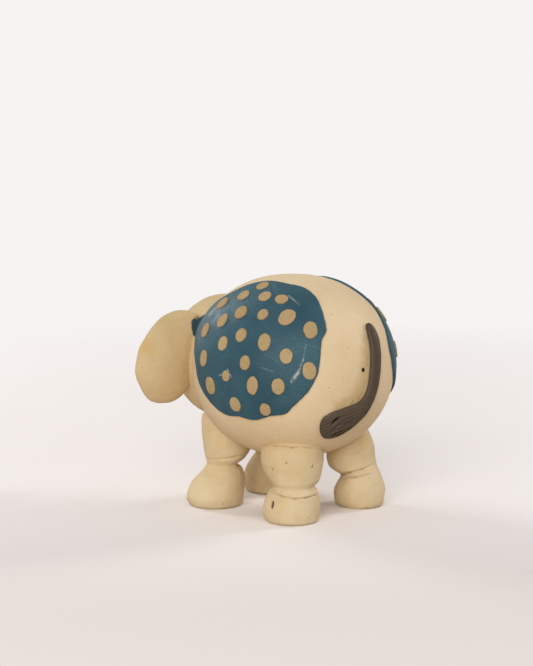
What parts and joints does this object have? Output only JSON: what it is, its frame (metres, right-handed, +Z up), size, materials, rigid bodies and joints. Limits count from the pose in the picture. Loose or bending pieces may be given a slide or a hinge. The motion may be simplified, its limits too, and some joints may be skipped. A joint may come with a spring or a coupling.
{
  "type": "ceramic elephant figurine",
  "caption": "Small round-bodied standing elephant in tan stoneware, with a spotted blue patch laid on each flank and a dark brush tail.",
  "frame": {"origin": "centre of the overall box at floor level, on the plane of the four soles", "axes": "+Z up, -Y the way the elephant faces, +X its left side"},
  "size_m": [0.0718, 0.1094, 0.08],
  "materials": {
    "tan_clay": "matte",
    "blue_slip": "satin",
    "spot_clay": "matte",
    "dark_clay": "satin",
    "eye_clay": "satin"
  },
  "bodies": {
    "root": {"body": "tan_clay", "patch_left": "blue_slip", "patch_right": "blue_slip", "spot_left_01": "spot_clay", "spot_left_02": "spot_clay", "spot_left_03": "spot_clay", "spot_left_04": "spot_clay", "spot_left_05": "spot_clay", "spot_left_06": "spot_clay", "spot_left_07": "spot_clay", "spot_left_08": "spot_clay", "spot_left_09": "spot_clay", "spot_left_10": "spot_clay", "spot_left_11": "spot_clay", "spot_left_12": "spot_clay", "spot_left_13": "spot_clay", "spot_left_14": "spot_clay", "spot_left_15": "spot_clay", "spot_left_16": "spot_clay", "spot_left_17": "spot_clay", "spot_left_18": "spot_clay", "spot_left_19": "spot_clay", "spot_left_20": "spot_clay", "spot_left_21": "spot_clay", "spot_left_22": "spot_clay", "spot_left_23": "spot_clay", "spot_left_24": "spot_clay", "spot_right_01": "spot_clay", "spot_right_02": "spot_clay", "spot_right_03": "spot_clay", "spot_right_04": "spot_clay", "spot_right_05": "spot_clay", "spot_right_06": "spot_clay", "spot_right_07": "spot_clay", "spot_right_08": "spot_clay", "spot_right_09": "spot_clay", "spot_right_10": "spot_clay", "spot_right_11": "spot_clay", "spot_right_12": "spot_clay", "spot_right_13": "spot_clay", "spot_right_14": "spot_clay", "spot_right_15": "spot_clay", "spot_right_16": "spot_clay", "spot_right_17": "spot_clay", "spot_right_18": "spot_clay", "spot_right_19": "spot_clay", "spot_right_20": "spot_clay", "spot_right_21": "spot_clay", "spot_right_22": "spot_clay", "spot_right_23": "spot_clay", "spot_right_24": "spot_clay", "tail": "dark_clay", "eye_left": "eye_clay", "eye_right": "eye_clay"}
  },
  "joints": []
}
